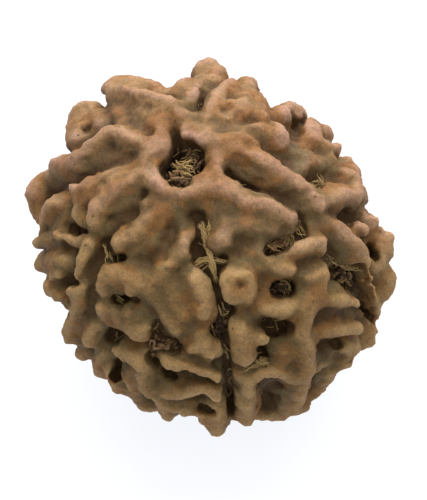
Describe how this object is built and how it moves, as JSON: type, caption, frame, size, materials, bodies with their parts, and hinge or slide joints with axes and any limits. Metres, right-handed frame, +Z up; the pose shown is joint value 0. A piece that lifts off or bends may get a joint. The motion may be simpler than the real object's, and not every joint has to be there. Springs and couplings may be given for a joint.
{
  "type": "rudraksha seed",
  "caption": "Dried rudraksha seed: a hard woody ball with knobbly ridged faces, deep grooves, pits and a stalk-end hole that holds dry fibre.",
  "frame": {"origin": "centre of the seed's bounding box seen from above, on the ground it rests on", "axes": "+Z up, the stalk-end hole near the top and leaning to the front; -Y is the front, which the picture shows; +X is to the right seen from the front"},
  "size_m": [0.0268, 0.0256, 0.0254],
  "materials": {
    "dried_stone": "matte dry woody stone, pinkish brown on the worn crests, olive brown between them",
    "dried_fibre": "matte straw-coloured dry plant fibre"
  },
  "bodies": {
    "root": {"seed_stone": "dried_stone", "stalk_hole_fibres": "dried_fibre"}
  },
  "joints": []
}
